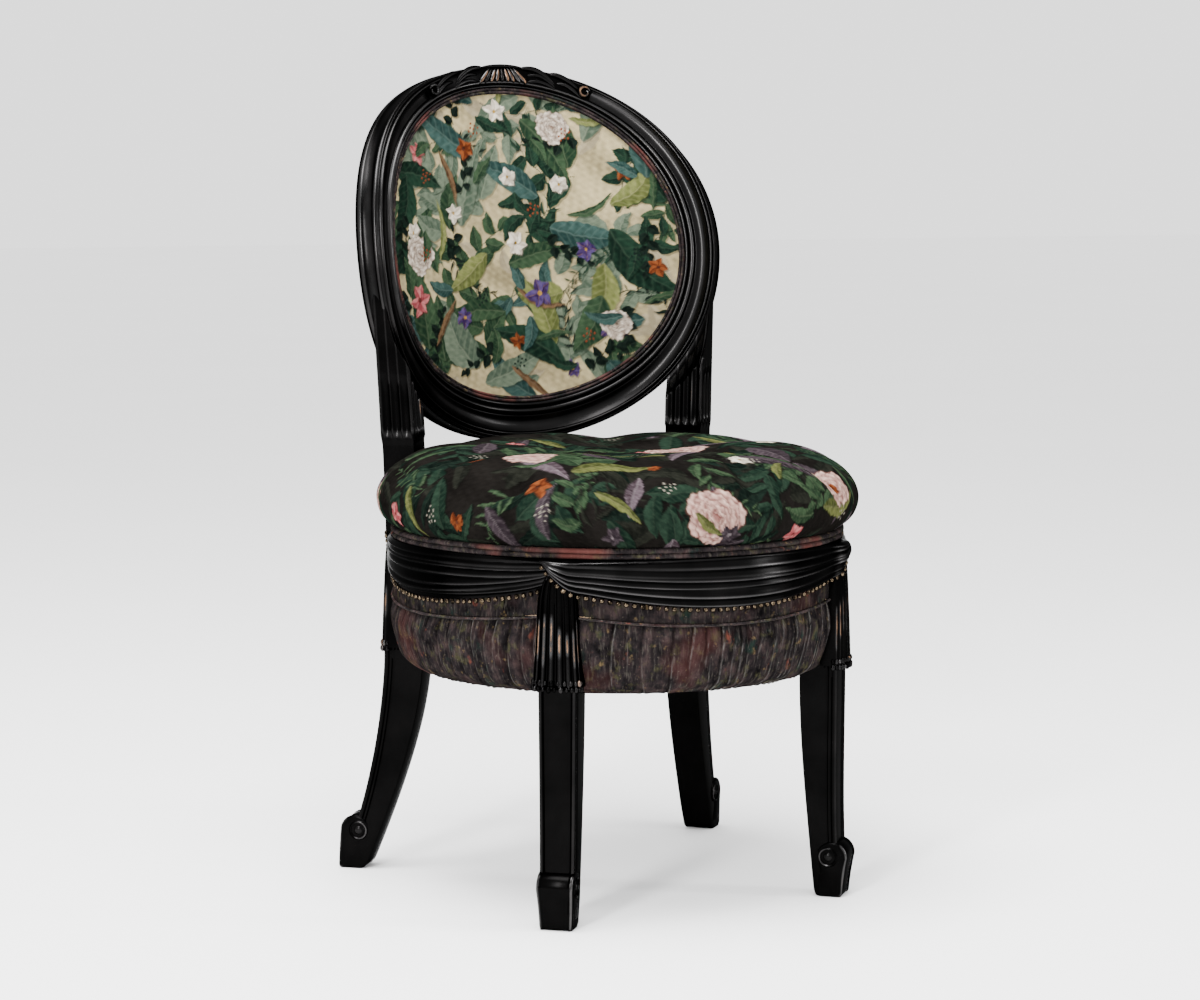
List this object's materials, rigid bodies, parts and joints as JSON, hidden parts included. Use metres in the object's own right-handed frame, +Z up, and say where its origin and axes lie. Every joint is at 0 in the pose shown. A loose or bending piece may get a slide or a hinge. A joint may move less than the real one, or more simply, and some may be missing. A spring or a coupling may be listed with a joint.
{
  "type": "occasional chair",
  "caption": "Low occasional chair with a round padded back that wraps round the sitter, a domed round seat, draped rails with tassels and sabre legs.",
  "frame": {"origin": "on the floor, under the middle of the chair's box", "axes": "+Z up, -Y towards the front of the seat, +X to the right of someone facing the chair's front"},
  "size_m": [0.5426, 0.591, 0.9238],
  "materials": {
    "lacquer": "black lacquer, satin gloss, copper showing on rubbed edges",
    "bronze_nails": "dark antique bronze",
    "seat_fabric": "printed velvet, dark botanical ground",
    "back_fabric": "printed velvet, ivory botanical ground",
    "rear_fabric": "printed velvet, dark ground",
    "belly_fabric": "gathered velvet, dark plum ground with small flecks",
    "braid": "woven double cord in dark plum",
    "beech": "unfinished beech",
    "jute": "woven jute",
    "stuffing": "felted fibre",
    "black_cambric": "thin black cambric",
    "spring_steel": "plain wire",
    "screw_steel": "zinc plated"
  },
  "bodies": {
    "root": {"back_bottom_rail": "lacquer", "back_braid_front": "braid", "back_braid_rear": "braid", "back_dowels": "beech", "back_hessian": "jute", "back_pad": "back_fabric", "back_side_rail_left": "lacquer", "back_side_rail_right": "lacquer", "back_top_rail": "lacquer", "back_webbing_crosswise": "jute", "back_webbing_upright": "jute", "belly_band_front": "belly_fabric", "belly_band_left": "belly_fabric", "belly_band_rear": "belly_fabric", "belly_band_right": "belly_fabric", "belly_pad_front": "belly_fabric", "belly_pad_left": "belly_fabric", "belly_pad_rear": "belly_fabric", "belly_pad_right": "belly_fabric", "belly_piping": "braid", "block_screws": "screw_steel", "corner_blocks": "beech", "crest_leaf_left": "lacquer", "crest_leaf_right": "lacquer", "crest_shell": "lacquer", "dust_cover": "black_cambric", "front_leg_left": "lacquer", "front_leg_right": "lacquer", "front_tassel_left": "lacquer", "front_tassel_right": "lacquer", "hoop_screws": "screw_steel", "lower_hoop": "beech", "outside_back_panel": "rear_fabric", "rail_dowels": "beech", "rear_leg_left": "lacquer", "rear_leg_right": "lacquer", "rear_tassel_left": "lacquer", "rear_tassel_right": "lacquer", "seat_braid": "braid", "seat_cover": "seat_fabric", "seat_hessian": "jute", "seat_rail_front": "beech", "seat_rail_left": "beech", "seat_rail_rear": "beech", "seat_rail_right": "beech", "seat_springs": "spring_steel", "seat_stuffing": "stuffing", "seat_webbing_crosswise": "jute", "seat_webbing_lengthwise": "jute", "swag_front": "lacquer", "swag_left": "lacquer", "swag_nails_front": "bronze_nails", "swag_nails_left": "bronze_nails", "swag_nails_rear": "bronze_nails", "swag_nails_right": "bronze_nails", "swag_rear": "lacquer", "swag_right": "lacquer", "tuft_ties": "jute"}
  },
  "joints": []
}
